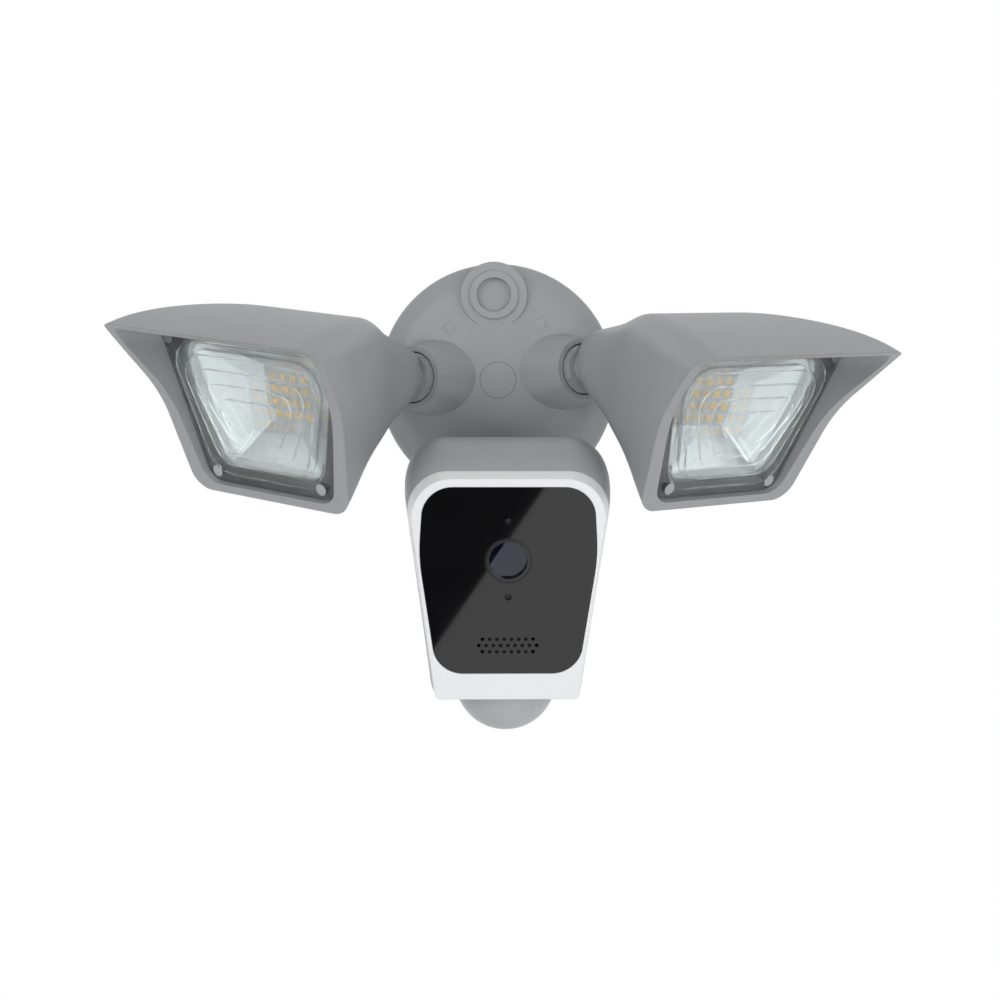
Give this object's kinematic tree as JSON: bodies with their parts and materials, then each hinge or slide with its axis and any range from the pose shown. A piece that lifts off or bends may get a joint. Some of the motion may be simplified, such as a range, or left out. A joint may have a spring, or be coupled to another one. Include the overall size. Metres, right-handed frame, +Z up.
{
  "type": "floodlight security camera",
  "caption": "Wall-mounted security camera between two tilting hooded LED floodlights on a round canopy, with a domed motion sensor under the camera head.",
  "frame": {"origin": "centre of the canopy on the wall plane, where the crossbar's back face meets the wall", "axes": "+X along the two lamps to the viewer's right, +Y into the wall, +Z up; the lamps and the camera face -Y"},
  "size_m": [0.3305, 0.1837, 0.2132],
  "materials": {
    "canopy_grey": "fine satin moulded, UV-stable grey",
    "shell_grey": "fine satin moulded, pale grey",
    "bezel_white": "smooth white",
    "face_black": "high gloss black",
    "lens_black": "fine black",
    "lens_glass": "coated lens",
    "clear_cover": "clear stepped polycarbonate",
    "seal_rubber": "matte seal",
    "reflector_silver": "vacuum metallised",
    "heat_sink_aluminium": "cast and machined",
    "led_phosphor": "phosphor in silicone",
    "zinc_steel": "zinc plated",
    "circuit_green": "solder resist",
    "component_black": "moulded",
    "dome_plastic": "translucent grey sensor dome"
  },
  "bodies": {
    "wall_base": {"canopy": "canopy_grey", "wall_gasket": "seal_rubber", "crossbar": "zinc_steel", "centre_screw": "zinc_steel", "centre_cap": "canopy_grey", "conduit_plug": "canopy_grey", "driver_board": "circuit_green", "driver_screws": "zinc_steel", "driver_components": "component_black", "terminal_block": "component_black"},
    "left_arm": {"left_arm": "canopy_grey", "left_arm_retainer": "canopy_grey"},
    "left_lock_nut": {"left_lock_nut": "canopy_grey"},
    "left_lamp": {"left_lamp_housing": "shell_grey", "left_lens_cover": "clear_cover", "left_lens_gasket": "seal_rubber", "left_lens_screws": "zinc_steel", "left_reflector": "reflector_silver", "left_led_board": "heat_sink_aluminium", "left_led_array": "led_phosphor", "left_heat_sink": "heat_sink_aluminium", "left_hinge_bracket": "zinc_steel", "left_bracket_screw": "zinc_steel", "left_tilt_pin": "zinc_steel"},
    "right_arm": {"right_arm": "canopy_grey", "right_arm_retainer": "canopy_grey"},
    "right_lock_nut": {"right_lock_nut": "canopy_grey"},
    "right_lamp": {"right_lamp_housing": "shell_grey", "right_lens_cover": "clear_cover", "right_lens_gasket": "seal_rubber", "right_lens_screws": "zinc_steel", "right_reflector": "reflector_silver", "right_led_board": "heat_sink_aluminium", "right_led_array": "led_phosphor", "right_heat_sink": "heat_sink_aluminium", "right_hinge_bracket": "zinc_steel", "right_bracket_screw": "zinc_steel", "right_tilt_pin": "zinc_steel"},
    "camera_arm": {"camera_arm": "canopy_grey", "camera_arm_retainer": "canopy_grey"},
    "camera_lock_nut": {"camera_lock_nut": "canopy_grey"},
    "camera_head": {"rear_housing": "shell_grey", "front_bezel": "bezel_white", "face_panel": "face_black", "lens_barrel": "lens_black", "lens_glass": "lens_glass", "image_board": "circuit_green", "main_board": "circuit_green", "speaker": "component_black", "microphone": "component_black", "light_sensor": "component_black", "pir_dome": "dome_plastic", "pir_sensor": "circuit_green", "camera_bracket": "shell_grey", "camera_tilt_pin": "zinc_steel", "housing_screws": "zinc_steel"},
    "reset_button": {"reset_button": "shell_grey"},
    "card_door": {"card_door": "shell_grey"}
  },
  "joints": [
    {"name": "left_swivel", "type": "hinge", "parent": "wall_base", "child": "left_arm", "pos_m": [-0.0395, -0.0327, 0.0027], "axis": [-0.5678, -0.8231, 0], "range_deg": [-40, 40]},
    {"name": "left_tilt", "type": "hinge", "parent": "left_arm", "child": "left_lamp", "pos_m": [-0.05199, -0.05081, 0.0027], "axis": [0.808, -0.5574, -0.1908], "range_deg": [-27, 32]},
    {"name": "left_lock_turn", "type": "hinge", "parent": "wall_base", "child": "left_lock_nut", "pos_m": [-0.0395, -0.0327, 0.0027], "axis": [-0.5678, -0.8231, 0], "range_deg": [-90, 90]},
    {"name": "right_swivel", "type": "hinge", "parent": "wall_base", "child": "right_arm", "pos_m": [0.0395, -0.0327, 0.0027], "axis": [0.5678, -0.8231, 0], "range_deg": [-40, 40]},
    {"name": "right_tilt", "type": "hinge", "parent": "right_arm", "child": "right_lamp", "pos_m": [0.05199, -0.05081, 0.0027], "axis": [0.8228, 0.5676, 0.0279], "range_deg": [-36, 16]},
    {"name": "right_lock_turn", "type": "hinge", "parent": "wall_base", "child": "right_lock_nut", "pos_m": [0.0395, -0.0327, 0.0027], "axis": [0.5678, -0.8231, 0], "range_deg": [-90, 90]},
    {"name": "camera_swivel", "type": "hinge", "parent": "wall_base", "child": "camera_arm", "pos_m": [0, -0.03, -0.042], "axis": [0, -0.9967, -0.0811], "range_deg": [-30, 30]},
    {"name": "camera_tilt", "type": "hinge", "parent": "camera_arm", "child": "camera_head", "pos_m": [0, -0.0589, -0.04435], "axis": [0.9988, 0.004, -0.0487], "range_deg": [-30, 25]},
    {"name": "camera_lock_turn", "type": "hinge", "parent": "wall_base", "child": "camera_lock_nut", "pos_m": [0, -0.03, -0.042], "axis": [0, -0.9967, -0.0811], "range_deg": [-90, 90]},
    {"name": "reset_press", "type": "slide", "parent": "camera_head", "child": "reset_button", "axis": [-0.0088, -0.9659, -0.2586], "range_m": [0, 0.001], "stiffness_N_per_m": 400},
    {"name": "card_door_open", "type": "hinge", "parent": "camera_head", "child": "card_door", "pos_m": [-0.00813, -0.05488, -0.10801], "axis": [0.9988, 0.004, -0.0487], "range_deg": [-95, 0]}
  ]
}
